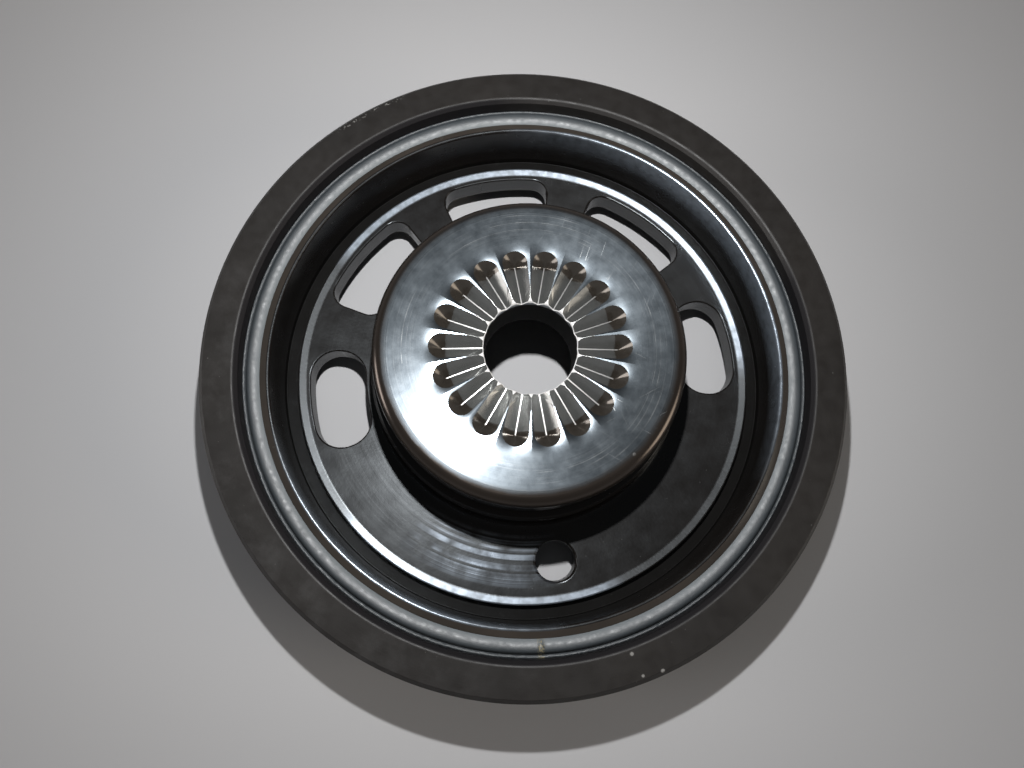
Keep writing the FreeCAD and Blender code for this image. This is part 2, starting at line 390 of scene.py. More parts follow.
def profile(corners):
    """Short spans of a half section, each as two points with their normals.

    A corner is (r, z, radius). The section is walked with the solid on its right."""
    spots = [Vector(c[:2]) for c in corners]
    spans = []
    last = None
    for i, (here, corner) in enumerate(zip(spots, corners)):
        ahead = (spots[i + 1] - here).normalized() if i + 1 < len(spots) else None
        behind = (here - spots[i - 1]).normalized() if i > 0 else ahead
        ahead = ahead or behind
        turn = math.atan2(behind.x * ahead.y - behind.y * ahead.x, behind.dot(ahead))
        cut = corner[2] * math.tan(abs(turn) / 2)
        start = here - behind * cut
        steps = max(2, math.ceil(abs(turn) / ARC_STEP)) if cut > 0 else 0
        if last is not None:
            side = Vector((-behind.y, behind.x))
            spans.append((last, side, start, side))
        last = start
        old = Vector((-behind.y, behind.x))
        for k in range(1, steps + 1):
            lean = math.atan2(behind.y, behind.x) + turn * k / steps
            side = Vector((-math.sin(lean), math.cos(lean)))
            grade = 1 if turn > 0 else -1
            centre = start + grade * corner[2] * Vector((-behind.y, behind.x))
            spot = centre - grade * corner[2] * side
            spans.append((last, old, spot, side))
            last, old = spot, side
    return spans


def lathe(shell, corners, count):
    """Turn a half section about the pulley's axis."""
    ring = bearings(count)
    for (r0, z0), (nr0, nz0), (r1, z1), (nr1, nz1) in profile(corners):
        for j in range(count):
            quad = []
            for r, z, nr, nz, turn in ((r0, z0, nr0, nz0, j), (r1, z1, nr1, nz1, j),
                                       (r1, z1, nr1, nz1, j + 1), (r0, z0, nr0, nz0, j + 1)):
                c, s = ring[turn % count]
                r = round(r, DIGITS)
                quad.append(((r * c, r * s, round(z, DIGITS)), (nr * c, nr * s, nz)))
            shell.face(quad)


class Plan:
    """Points and edges in the plane, to be filled with triangles."""

    def __init__(self):
        self.points = []
        self.edges = []

    def chain(self, line, closed=False):
        """Add a line of points, and the edges along it."""
        first = len(self.points)
        self.points.extend(line)
        self.edges.extend((first + i, first + i + 1) for i in range(len(line) - 1))
        if closed:
            self.edges.append((first + len(line) - 1, first))

    def triangles(self):
        """Each triangle that fills the plan and respects its edges, as points with exact coordinates."""
        flat = [Vector(p) for p in self.points]
        spots, _, faces, origins, _, _ = delaunay_2d_cdt(flat, self.edges, [], 0, MERGE_DISTANCE)
        exact = [self.points[old[0]] if old else tuple(spot) for spot, old in zip(spots, origins)]
        return [[exact[i] for i in face] for face in faces]


def centroid(corners):
    return [sum(v) / len(corners) for v in zip(*corners)]


class Tree:
    """Short way to write a node tree: each call adds a node, sets it and links its inputs."""

    def __init__(self, tree):
        self.tree = tree
        tree.nodes.clear()

    def add(self, kind, inputs=None, **settings):
        node = self.tree.nodes.new("ShaderNode" + kind)
        for name, value in settings.items():
            setattr(node, name, value)
        for name, value in (inputs or {}).items():
            socket = node.inputs[name]
            if isinstance(value, bpy.types.NodeSocket):
                self.tree.links.new(value, socket)
            else:
                socket.default_value = value
        return node

    def math(self, operation, a, b=0.0, c=0.0):
        return self.add("Math", {0: a, 1: b, 2: c}, operation=operation).outputs[0]

    def vector(self, operation, a, b=(0.0, 0.0, 0.0)):
        """Result of a vector operation, which is a number for a dot product."""
        node = self.add("VectorMath", {0: a, 1: b}, operation=operation)
        return node.outputs["Value" if operation == "DOT_PRODUCT" else "Vector"]

    def times(self, mask, share):
        return self.math("MULTIPLY", mask, share)

    def ramp(self, value, low, high, out_low=0.0, out_high=1.0):
        return self.add("MapRange", {0: value, 1: low, 2: high, 3: out_low, 4: out_high}).outputs[0]

    def mix(self, share, a, b):
        """Colour between two colours."""
        return self.add("Mix", {0: share, 6: a, 7: b}, data_type="RGBA").outputs[2]

    def blend(self, share, a, b):
        """Shader between two shaders."""
        return self.add("MixShader", {0: share, 1: a, 2: b}).outputs[0]

    def both(self, *masks):
        """Mask of where all of the masks lie."""
        return reduce(self.times, masks)

    def any(self, *masks):
        """Mask of where at least one of the masks lies."""
        return reduce(lambda a, b: self.math("MAXIMUM", a, b), masks)

    def seen(self, shader, behind, *masks):
        """Shader in whose place the camera sees another one, where the masks lie."""
        camera = self.add("LightPath").outputs["Is Camera Ray"]
        return self.blend(self.both(*masks, camera), shader, behind)


class Surface(Tree):
    """Material tree that knows the place on the pulley: millimetres, radius and bearing."""

    HEIGHT_SHARE = 0.71
    ROUND_THE_AXIS = 0.25

    def __init__(self, name):
        self.material = bpy.data.materials.new(name)
        self.material.use_nodes = True
        super().__init__(self.material.node_tree)
        self.place = self.vector("MULTIPLY", self.add("TexCoord").outputs["Object"], (1 / MM,) * 3)
        self.x, self.y, self.z = self.add("SeparateXYZ", {0: self.place}).outputs
        self.radius = self.length(self.x, self.y)
        self.bearing = self.math("DEGREES", self.math("ARCTAN2", self.y, self.x))

    def length(self, x, y):
        return self.math("SQRT", self.math("ADD", self.times(x, x), self.times(y, y)))

    def noise(self, scale, detail=3.0, place=None, roughness=0.5):
        inputs = {"Vector": place or self.place, "Scale": scale, "Detail": detail, "Roughness": roughness}
        return self.add("TexNoise", inputs).outputs["Fac"]

    def rings(self, scale, detail):
        """Noise that varies with the radius and height only, as turning leaves it."""
        along = self.math("MULTIPLY_ADD", self.z, self.HEIGHT_SHARE, self.radius)
        inputs = {"W": along, "Scale": scale, "Detail": detail}
        return self.add("TexNoise", inputs, noise_dimensions="1D").outputs["Fac"]

    def scratches(self, turn, fineness):
        """Mask of thin scratches, drawn out along one direction of the plane."""
        inputs = {"Vector": self.place, "Angle": math.radians(turn)}
        turned = self.add("VectorRotate", inputs, rotation_type="Z_AXIS").outputs[0]
        drawn = self.vector("MULTIPLY", turned, (SCRATCH_DRAW, fineness, fineness))
        return self.ramp(self.noise(1.0, 1.0, drawn), *SCRATCH_CUTS)

    def spot(self, x, y, size, soft):
        """Mask of a small round patch about a place."""
        away = self.length(self.math("SUBTRACT", self.x, x), self.math("SUBTRACT", self.y, y))
        return self.ramp(away, size + soft, size)

    def dots(self, scale, size, share):
        """Mask of small specks, one in a share of the cells of a loose grid."""
        cells = self.add("TexVoronoi", {"Vector": self.place, "Scale": scale})
        draw = self.add("SeparateColor", {0: cells.outputs["Color"]}).outputs[0]
        near = self.ramp(cells.outputs["Distance"], size, size * 0.5)
        return self.both(near, self.ramp(draw, 1 - share, 1 - share + 0.01))

    def facing(self, bearing, width):
        """Mask of the side of the pulley that lies at a bearing."""
        flat = self.vector("NORMALIZE", self.add("CombineXYZ", {0: self.x, 1: self.y}).outputs[0])
        along = self.vector("DOT_PRODUCT", flat, (*polar(1, math.radians(bearing)), 0.0))
        return self.ramp(along, math.cos(math.radians(width)), 1.0)

    def band(self, value, low, high, soft):
        """Mask of the stretch between two values."""
        return self.both(self.ramp(value, low - soft, low), self.ramp(value, high + soft, high))

    def bump(self, height, distance, normal=None):
        inputs = {"Height": height, "Distance": distance * MM}
        if normal is not None:
            inputs["Normal"] = normal
        return self.add("Bump", inputs).outputs[0]

    def shader(self, color, rough, normal=None, metallic=0.0, specular=0.5, turned=0.0, tint=WHITE):
        """Surface shader. turned is how far turning round the axis draws its gloss out."""
        inputs = {"Base Color": color, "Roughness": rough, "Metallic": metallic,
                  "Specular IOR Level": specular, "Specular Tint": tint}
        if normal is not None:
            inputs["Normal"] = normal
        if turned:
            inputs["Anisotropic"] = turned
            inputs["Anisotropic Rotation"] = self.ROUND_THE_AXIS
            inputs["Tangent"] = self.add("Tangent", direction_type="RADIAL", axis="Z").outputs[0]
        return self.add("BsdfPrincipled", inputs).outputs[0]

    def finish(self, shader):
        self.add("OutputMaterial", {"Surface": shader})
        return self.material


def ring_coat():
    """Matt dark brown-black coat on the turned outer ring, with chips and a frayed stretch on its top, and
    painted shade on the mouth's chamfer.
    """
    s = Surface("ring_coat")
    color = s.mix(s.noise(0.05, 6.0), *RING_TONES)
    # Paler patches on one side of the ring.
    pale_patches = s.both(s.facing(*RING_PALE_SIDE), s.ramp(s.noise(0.16, 6.0, roughness=0.7), 0.48, 0.70))
    color = s.mix(s.times(pale_patches, 0.5), color, RING_PALE_PATCH)
    specks = s.any(s.dots(0.45, 0.07, 0.16), s.dots(0.9, 0.09, 0.05))
    color = s.mix(s.times(specks, 0.7), color, RING_SPECK)
    chips = s.any(*[s.spot(*chip) for chip in RING_CHIPS])
    fray = s.both(s.band(s.bearing, *FRAY_BEARINGS, 3), s.band(s.radius, *FRAY_RADII, 0.3),
                  s.ramp(s.noise(1.6, 4.0), 0.55, 0.66))
    marks = s.any(s.times(chips, 0.6), s.times(fray, 0.35))
    on_top = s.ramp(s.z, ring_width - 0.6, ring_width - 0.3)
    color = s.mix(s.both(marks, on_top), color, RING_BARE)
    rough = s.ramp(s.noise(0.30, 5.0), 0.3, 0.7, 0.44, 0.58)
    normal = s.bump(s.noise(3.5, 4.0), 0.012, s.bump(s.rings(2.5, 5.0), 0.006))
    # Painted shade: the mouth's chamfer gets a dark, dull shader except on the side where it glints.
    on_mouth = s.ramp(s.radius, ring_bore + 1.1, ring_bore + 0.8)
    painted_mouth_shade = s.both(on_mouth, s.ramp(s.facing(*MOUTH_GLINT_SIDE), 0.4, 0.0))
    mouth_shade = s.shader(RING_MOUTH_SHADE, 0.55, specular=0.15)
    return s.finish(s.blend(painted_mouth_shade, s.shader(color, rough, normal), mouth_shade))


def nose_marks(s):
    """Mask of the scratches on the nose's face: thin arcs from turning in, and long crossing ones."""
    worn = s.ramp(s.noise(0.22, 3.0), 0.36, 0.62)
    fine = s.ramp(s.rings(7.0, 6.0), 0.60, 0.72)
    arcs = s.any(*[s.both(s.band(s.radius, radius, radius + 0.03, 0.06), s.band(s.bearing, low, high, 6))
                   for radius, low, high in SCRATCHED_ARCS])
    lines = s.any(*[s.both(s.scratches(turn, fineness), s.facing(*side))
                    for turn, fineness, side in SCRATCHES])
    return s.any(s.times(s.both(fine, worn), 0.22), s.times(s.both(arcs, worn), 0.6), s.times(lines, 0.7))


def nose_steel(s):
    """Turned steel of the nose's face, with its scratches and one small bright spot."""
    marks = nose_marks(s)
    mottle = s.noise(0.35, 6.0, roughness=0.6)
    color = s.mix(s.times(marks, 0.75), s.mix(mottle, *STEEL_TONES), STEEL_SCRATCH)
    color = s.mix(s.spot(*NOSE_BRIGHT_SPOT), color, STEEL_BRIGHT_SPOT)
    rough = s.any(s.ramp(mottle, 0.3, 0.7, 0.21, 0.25), s.times(marks, 0.42))
    normal = s.bump(s.noise(0.5, 4.0), 0.0022, s.bump(s.rings(2.2, 5.0), 0.0030))
    return s.shader(color, rough, normal, metallic=1.0, turned=0.72)


def wear_and_glints(s, on_lip):
    """Mask of where the hub's coat is worn, partly real wear and partly painted highlight: a worn patch of
    the web, its lip and the rim's edge, on the sides where they glint.
    """
    rubbed_glint = s.both(s.facing(*RUBBED_GLINT_SIDE), s.band(s.radius, *RUBBED_GLINT_RADII, 2.5),
                    s.ramp(s.rings(0.8, 5.0), 0.40, 0.62), s.ramp(s.noise(0.2, 4.0), 0.30, 0.60))
    blotches = s.noise(0.5, 4.0)
    unworn_dull = [s.ramp(s.facing(*side), 0.3, 0.0) for side in UNWORN_DULL_LIP_SIDES]
    lip = s.both(on_lip, *unworn_dull, s.ramp(blotches, 0.30, 0.60, 0.4, 0.7))
    rim_edge = s.both(s.band(s.radius, RIM_INNER, RIM_INNER + 0.7, 0.15), s.ramp(s.z, *RIM_EDGE_HEIGHTS))
    rim_sides = s.any(s.facing(*WORN_GLINT_RIM_SIDE), s.times(s.facing(*HALF_WORN_GLINT_RIM_SIDE), 0.7))
    return s.any(rubbed_glint, lip, s.both(rim_edge, rim_sides, s.ramp(blotches, 0.30, 0.60, 0.5, 1.0)))


def black_coat(s, cloud):
    """Satin black coat with turning marks and specks, thin on the rim's land, and worn in places where a
    pale metallic colour also paints highlights.
    """
    specks = s.any(s.dots(0.5, 0.06, 0.14), s.dots(1.1, 0.08, 0.06))
    color = s.mix(s.times(specks, 0.8), s.mix(cloud, *COAT_TONES), COAT_SPECK)
    on_land = s.both(s.band(s.radius, RIM_INNER + 0.8, rim_radius, 0.1), s.ramp(s.z, *RIM_LAND_HEIGHTS))
    color = s.mix(on_land, color, s.mix(cloud, *LAND_TONES))
    lip_width = s.band(s.radius, WEB_EDGE - WEB_LIP_WIDTH, WEB_EDGE, 0.2)
    on_lip = s.both(lip_width, s.ramp(s.z, WEB_TOP, WEB_TOP + 0.1))
    bare_and_glints = wear_and_glints(s, on_lip)
    # Painted highlight: where worn, the coat turns pale bluish and partly metallic, on the sides where it
    # glints.
    color = s.mix(bare_and_glints, color, COAT_BARE_GLINT)
    rough = s.math("MULTIPLY_ADD", on_lip, 0.07, s.ramp(s.noise(0.22, 5.0), 0.3, 0.7, 0.22, 0.28))
    normal = s.bump(s.rings(0.35, 3.0), 0.020)
    normal = s.bump(s.rings(3.5, 5.0), 0.0035, normal)
    normal = s.bump(s.noise(1.6, 5.0), 0.008, normal)
    return s.shader(color, rough, normal, s.times(bare_and_glints, 0.75), turned=0.78, tint=COAT_TINT)


def hub_coat():
    """Black coat on the turned hub, brown at the nose's edge, with painted shade in the bore and the
    channel, and the nose's face worn to bright steel.
    """
    s = Surface("hub_coat")
    cloud = s.noise(0.07, 5.0)
    brown = s.shader(s.mix(cloud, *EDGE_TONES), 0.17, s.bump(s.noise(2.0, 4.0), 0.006),
                     metallic=0.75, specular=1.0, turned=0.5)
    body = s.blend(s.ramp(s.z, *NOSE_EDGE_HEIGHTS), black_coat(s, cloud), brown)
    # Painted shade: the bore's wall and the channel's floor get a near-black, dull shader where they lie
    # deep.
    in_width = s.band(s.radius, WEB_EDGE + 0.1, RIM_INNER - 0.1, 0.2)
    in_channel = s.both(in_width, s.ramp(s.z, *CHANNEL_HEIGHTS))
    in_bore = s.both(s.ramp(s.radius, *BORE_SHADE_RADII), s.ramp(s.z, *BORE_SHADE_HEIGHTS))
    shade = s.shader(SHADE_BLACK, 0.75, specular=0.12)
    body = s.blend(s.any(in_bore, s.times(in_channel, 0.85)), body, shade)
    wavy = s.math("MULTIPLY_ADD", s.y, -0.02, s.math("MULTIPLY_ADD", s.noise(0.35, 3.0), 1.0, s.radius))
    on_nose = s.both(s.ramp(s.z, *NOSE_FACE_HEIGHTS), s.ramp(wavy, *NOSE_FACE_RADII))
    return s.finish(s.blend(on_nose, body, nose_steel(s)))


def brown_coat(s):
    """Glossy dark brown coat that is left in the pits and at the outer ends of the grooves."""
    color = s.mix(s.noise(0.8, 4.0), *PIT_TONES)
    return s.shader(color, 0.13, s.bump(s.noise(2.2, 3.0), 0.002), metallic=0.55, specular=1.0)


def groove_steel():
    """Milled steel on the flanks of the serration, as far out as the mating part has worn it."""
    s = Surface("groove_steel")
    color = s.mix(s.noise(0.45, 4.0, roughness=0.6), *FLANK_TONES)
    color = s.mix(s.ramp(s.noise(9.0, 3.0), 0.52, 0.72), color, FLANK_BRUSHED)
    steel = s.shader(color, 0.22, s.bump(s.noise(5.0, 3.0), 0.002), metallic=0.75)
    wavy = s.math("MULTIPLY_ADD", s.noise(1.4, 2.0), 0.3, s.radius)
    return s.finish(s.blend(s.ramp(wavy, *GROOVE_WORN_RADII), steel, brown_coat(s)))


def pit_coat():
    """Coat in the conical pits at the grooves' ends."""
    s = Surface("pit_coat")
    return s.finish(brown_coat(s))


def root_steel():
    """Bright flat floor of the grooves."""
    s = Surface("root_steel")
    color = s.mix(s.noise(1.5, 3.0), *ROOT_TONES)
    return s.finish(s.shader(color, 0.33, s.bump(s.noise(4.0, 3.0), 0.006), metallic=1.0))


def facet_steel_glint():
    """Bright steel on the edge round the bore and the ends of the ridges, painted near white as a painted
    highlight.
    """
    s = Surface("facet_steel_glint")
    color = s.mix(s.noise(2.0, 3.0), *FACET_GLINT_TONES)
    return s.finish(s.shader(color, 0.42, s.bump(s.noise(4.0, 3.0), 0.006), specular=1.0))


def rubber_skin():
    """Moulded rubber with a painted blue-grey sheen, paler beside the rim where the bead's highlight lies,
    and a yellowed joint.
    """
    s = Surface("rubber_skin")
    color = s.mix(s.noise(0.12, 5.0), *RUBBER_TONES)
    # Painted sheen: the bead is painted paler beside the rim, along its highlight band.
    color = s.mix(s.times(s.ramp(s.radius, *RUBBER_SHEEN_RADII), 0.8), color, RUBBER_PAINTED_SHEEN)
    specks = s.any(s.dots(0.7, 0.07, 0.12), s.dots(1.3, 0.08, 0.08))
    color = s.mix(s.times(specks, 0.4), color, RUBBER_SPECK)
    at_joint = s.band(s.bearing, JOINT_BEARING - 0.5, JOINT_BEARING + 0.5, 0.3)
    color = s.mix(s.both(at_joint, s.ramp(s.noise(2.5, 4.0), 0.45, 0.6)), color, RUBBER_JOINT)
    rough = s.ramp(s.noise(0.8, 5.0), 0.3, 0.7, 0.38, 0.54)
    return s.finish(s.shader(color, rough, s.bump(s.noise(1.2, 5.0, roughness=0.6), 0.030), specular=0.75))


def floor_paper():
    """Plain pale paper, which the camera sees run out into the backdrop far from the pulley."""
    s = Surface("floor_paper")
    paper = s.shader(FLOOR_GREY, 0.9, specular=0.2)
    far = s.add("Emission", {"Color": BACKDROP_GREY, "Strength": 1.0}).outputs[0]
    return s.finish(s.seen(paper, far, s.ramp(s.radius, *FLOOR_FADE)))


def fit(piece, node):
    """Put a piece in a solid's place, on the part's one body."""
    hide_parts(node)
    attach(piece, "root")


def groove_depth(x):
    """Depth of a groove's floor below the nose face, at a distance along it."""
    share = (PIT_CIRCLE - x) / (PIT_CIRCLE - BORE_RADIUS)
    return GROOVE_OUTER_DEPTH - share * (GROOVE_OUTER_DEPTH - GROOVE_INNER_DEPTH)


def flank(x, y):
    """Depth of a groove's flank, which is rounded where it meets its neighbour on the ridge."""
    depth = groove_depth(x) - abs(y) + GROOVE_ROOT
    away = to_border(x, y)
    if away < RIDGE_ROUND:
        depth += (RIDGE_ROUND - away) ** 2 / (2 * RIDGE_ROUND * math.cos(half_sector))
    return depth


def to_border(x, y):
    """Distance from the middle line between two grooves."""
    return x * math.sin(half_sector) - abs(y) * math.cos(half_sector)


def to_pit(x, y):
    return math.hypot(x - PIT_CIRCLE, y)


def edge_y(x):
    """Half the width of a groove at the nose face."""
    return GROOVE_ROOT + groove_depth(x) - ROLL_DEPTH


def rolled(x, y):
    """Depth of the face's rolled edge round a groove and its pit."""
    pit = to_pit(x, y) - tip_radius
    away = pit if x > PIT_CIRCLE else min(pit, abs(y) - edge_y(x))
    return ROLL_DEPTH * max(0.0, 1 - away / ROLL_WIDTH) ** 3


def ridge_end(r):
    """Depth of the rounded edge where the ridges end at the bore."""
    away = (BORE_RADIUS + RIDGE_END - r) / RIDGE_END
    return RIDGE_END_DEPTH * (away * abs(away) + RIDGE_END_TILT * away) + RIDGE_END_TOP


# Depths of the surfaces that meet in one sector of the serration, with its groove along +X.
DEPTHS = {
    "face": rolled,
    "chamfer": lambda x, y: ridge_end(math.hypot(x, y)),
    "flank": flank,
    "root": lambda x, y: groove_depth(x),
    "cone": lambda x, y: PIT_RADIUS - to_pit(x, y),
    "well": lambda x, y: PIT_RADIUS - GROOVE_ROOT,
}


def bore_line(x, y):
    """How far the broken edge round the bore lowers a surface there."""
    return BORE_LINE_SLOPE * max(0.0, BORE_RADIUS + BORE_LINE - math.hypot(x, y))


def sector_surface(x, y):
    """Depth and name of the surface that shows at a point of a sector."""
    def depth(name):
        return DEPTHS[name](x, y)
    cut = ["face", "chamfer", min("cone", "well", key=depth)]
    if x < PIT_CIRCLE:
        cut.append(min("root", "flank", key=depth))
    name = max(cut, key=depth)
    return depth(name) + bore_line(x, y), name


def surface_normal(name, x, y, broken):
    """Normal of a named surface, tilted into the bore where its edge is broken."""
    depth = DEPTHS[name]
    dx = (depth(x + SLOPE_STEP, y) - depth(x - SLOPE_STEP, y)) / (2 * SLOPE_STEP)
    side = math.copysign(SLOPE_STEP, y)
    dy = (depth(x, y + side) - depth(x, y)) / side
    if broken:
        r = math.hypot(x, y)
        dx -= BORE_LINE_SLOPE * x / r
        dy -= BORE_LINE_SLOPE * y / r
    return Vector((dx, dy, 1)).normalized()


def well_inside(x, y):
    """Whether a point lies clear of the borders of its sector of the serration."""
    low = BORE_RADIUS + BORE_LINE + BORDER_CLEARANCE
    high = SERRATION_RIM - BORDER_CLEARANCE
    return to_border(x, y) > BORDER_CLEARANCE and low < math.hypot(x, y) < high


def flank_foot():
    """Half the width that a groove has at the bore, where the ridges are rounded off."""
    return GROOVE_ROOT + GROOVE_INNER_DEPTH - ridge_end(BORE_RADIUS)


def bore_angles():
    """Angles of the sector's points round the bore: even steps, and where its surfaces meet."""
    angles = fan(half_sector, sector_steps)
    for y in (GROOVE_ROOT, flank_foot()):
        angles += [math.asin(y / BORE_RADIUS), -math.asin(y / BORE_RADIUS)]
    ridge = half_sector - math.asin(RIDGE_ROUND / BORE_RADIUS)
    return sorted(angles + [ridge, -ridge])


def pit_ring(radius, angles):
    """Points about the middle of the pit."""
    return [(PIT_CIRCLE + radius * math.cos(a), radius * math.sin(a)) for a in angles]


def meeting(name, y):
    """Where the groove's floor or flank meets the cone of the pit."""
    return solve(lambda x: DEPTHS[name](x, y) - DEPTHS["cone"](x, y), PIT_CIRCLE - PIT_RADIUS, PIT_CIRCLE)


def plan_borders(plan, ridge):
    """Borders of the sector, from the bore to where the face is flat."""
    for radius in (BORE_RADIUS, BORE_RADIUS + BORE_LINE):
        plan.chain([polar(radius, a) for a in bore_angles()])
    plan.chain([polar(SERRATION_RIM, a) for a in fan(half_sector, sector_steps)])
    for side in (-half_sector, half_sector):
        plan.chain([polar(r, side) for r in ridge])


def plan_ridge_end(plan, facet_end):
    """Where the rounded ends of the ridges meet the flanks."""
    def facet(y):
        return solve(lambda x: DEPTHS["chamfer"](x, y) - flank(x, y), BORE_RADIUS / 2, BORE_RADIUS * 2)
    low = flank_foot()
    start = polar(BORE_RADIUS, math.asin(low / BORE_RADIUS))
    heights = spread(low, facet_end * math.sin(half_sector), FACET_STEPS)[1:-1]
    for side in (-1, 1):
        bend = [(start[0], side * start[1])] + [(facet(y), side * y) for y in heights]
        plan.chain(bend + [polar(facet_end, side * half_sector)])


def plan_groove(plan, sharp, neck, swing):
    """Outline of the groove and its pit, their root, and where floor and flanks meet the cone."""
    for side in (-1, 1):
        tip = polar(sharp / math.cos(half_sector), side * half_sector)
        plan.chain([tip] + [(x, side * edge_y(x)) for x in spread(sharp, neck, EDGE_STEPS)[1:]])
    plan.chain(pit_ring(tip_radius, fan(-swing, ROUND_STEPS)))
    root_start = math.sqrt(BORE_RADIUS ** 2 - GROOVE_ROOT ** 2)
    root_end = meeting("root", GROOVE_ROOT)
    for side in (-1, 1):
        plan.chain([(root_start, side * GROOVE_ROOT), (root_end, side * GROOVE_ROOT)])
        plan.chain([(meeting("flank", y), side * y) for y in spread(GROOVE_ROOT, edge_y(neck), EDGE_STEPS)])
    plan.chain([(meeting("root", y), y) for y in (-GROOVE_ROOT, 0.0, GROOVE_ROOT)])
    plan.chain(pit_ring(GROOVE_ROOT, all_round(ROUND_STEPS)), closed=True)


def rounding_points(sharp, neck, swing):
    """Points that round the cone and the rolled edge off."""
    loose = []
    for share in CONE_SHARES:
        loose += pit_ring(tip_radius * share, fan(-swing, CONE_STEPS))
    for share in ROLL_SHARES:
        away = ROLL_WIDTH * share
        loose += pit_ring(tip_radius + away, fan(-swing, ROUND_STEPS))
        run = spread(sharp, neck, EDGE_STEPS)
        loose += [(x, side * (edge_y(x) + away)) for x in run for side in (-1, 1)]
    return [(x, y) for x, y in loose if well_inside(x, y) and math.hypot(x, y) > sharp]


def sector_plan():
    """Plan of one sector, drawn where its surfaces meet."""
    half = half_sector
    sharp = solve(lambda x: edge_y(x) - x * math.tan(half), BORE_RADIUS, PIT_CIRCLE)
    facet_end = solve(lambda r: DEPTHS["chamfer"](*polar(r, half)) - flank(*polar(r, half)),
                      BORE_RADIUS, BORE_RADIUS + RIDGE_END)
    neck = solve(lambda x: math.hypot(PIT_CIRCLE - x, edge_y(x)) - tip_radius,
                 PIT_CIRCLE - PIT_RADIUS, PIT_CIRCLE)
    swing = math.atan2(edge_y(neck), neck - PIT_CIRCLE)
    ridge = [BORE_RADIUS, BORE_RADIUS + BORE_LINE, sharp / math.cos(half)]
    ridge = sorted(ridge + spread(facet_end, SERRATION_RIM, BORDER_STEPS))
    plan = Plan()
    plan_borders(plan, ridge)
    plan_ridge_end(plan, facet_end)

    # Lines along the ridge where its rounding starts.
    across = RIDGE_ROUND / math.cos(half)
    run = [polar(r, half) for r in ridge if r < sharp + RIDGE_ROUND]
    for side in (-1, 1):
        plan.points += [(x, side * (y - across)) for x, y in run if well_inside(x, y - across)]
    plan_groove(plan, sharp, neck, swing)
    plan.points += rounding_points(sharp, neck, swing)
    return plan


def sector_faces():
    """Faces of one sector of the nose face, each as its corners with their normals, and its finish."""
    slots = {"flank": STEEL, "root": ROOT, "cone": PIT, "well": PIT, "chamfer": GLINT_FACET, "face": COAT}
    chord = BORE_RADIUS * math.cos(half_sector / sector_steps)
    for corners in sector_plan().triangles():
        x, y = centroid(corners)
        r = math.hypot(x, y)
        inside = chord < r < SERRATION_RIM and abs(math.atan2(y, x)) < half_sector - BORDER_MARGIN
        if not inside or all(math.hypot(*corner) < BORE_RADIUS + BORDER_MARGIN for corner in corners):
            continue
        name = sector_surface(x, y)[1]
        broken = r < BORE_RADIUS + BORE_LINE
        local = []
        for px, py in corners:
            off_line = py if abs(py) > BORDER_MARGIN else math.copysign(BORDER_MARGIN, y)
            height = nose_height - sector_surface(px, py)[0]
            local.append((px, py, height, surface_normal(name, px, off_line, broken)))
        yield local, GLINT_FACET if broken else slots[name]


def bore_faces():
    """Faces of one sector of the bore's wall, from the even ring below up to the serration."""
    low = [polar(BORE_RADIUS, a) for a in fan(half_sector, sector_steps)]
    high = [polar(BORE_RADIUS, a) for a in bore_angles()]
    for (ax, ay), (bx, by) in zip(low, low[1:]):
        tops = [p for p in high if ay - BORDER_MARGIN < p[1] < by + BORDER_MARGIN]
        wedges = [[(ax, ay, BORE_LEVEL), (*p, 0), (*q, 0)] for p, q in zip(tops, tops[1:])]
        wedges.append([(ax, ay, BORE_LEVEL), (*tops[-1], 0), (bx, by, BORE_LEVEL)])
        for wedge in wedges:
            yield [(x, y, nose_height - (drop or sector_surface(x, y)[0]), Vector((-x, -y, 0)))
                   for x, y, drop in wedge], COAT


def add_serration(shell):
    """Nose face from the bore to the rim of the serration, as turned copies of one sector."""
    for local, slot in [*sector_faces(), *bore_faces()]:
        for a in all_round(SERRATION_COUNT):
            c, s = polar(1, math.radians(90 + SERRATION_TURN) + a)
            corners = [((px * c - py * s, px * s + py * c, z), (n.x * c - n.y * s, n.x * s + n.y * c, n.z))
                       for px, py, z, n in local]
            shell.face(corners, slot)


def slot_outline(span, corner):
    """Points round a slot that lies about +X, each with its direction out of the slot."""
    half = math.radians(span) / 2
    outer_centre = SLOT_OUTER - corner
    inner_centre = SLOT_INNER + corner
    outer_end = half - math.asin(corner / outer_centre)
    inner_end = half - math.asin(corner / inner_centre)
    ring = [(polar(SLOT_OUTER, a), polar(1, a)) for a in fan(outer_end, SLOT_SIDE_STEPS)[1:-1]]

    def round_corner(centre_radius, bearing, low, high):
        cx, cy = polar(centre_radius, bearing)
        for a in spread(low, high, SLOT_CORNER_STEPS):
            dx, dy = polar(1, a)
            ring.append(((cx + corner * dx, cy + corner * dy), (dx, dy)))
    round_corner(outer_centre, outer_end, outer_end, half + math.pi / 2)
    round_corner(inner_centre, inner_end, half + math.pi / 2, inner_end + math.pi)
    for a in fan(-inner_end, SLOT_SIDE_STEPS)[1:-1]:
        ring.append((polar(SLOT_INNER, a), polar(1, a + math.pi)))
    round_corner(inner_centre, -inner_end, math.pi - inner_end, 1.5 * math.pi - half)
    round_corner(outer_centre, -outer_end, -half - math.pi / 2, -outer_end)
    return ring


def hole_outline():
    return [(polar(HOLE_RADIUS, a), polar(1, a)) for a in all_round(HOLE_STEPS)]


def placed(ring, turn, shift=(0.0, 0.0)):
    """An outline turned about the axis and then shifted."""
    c, s = polar(1, turn)
    return [((x * c - y * s + shift[0], x * s + y * c + shift[1]), (dx * c - dy * s, dx * s + dy * c))
            for (x, y), (dx, dy) in ring]


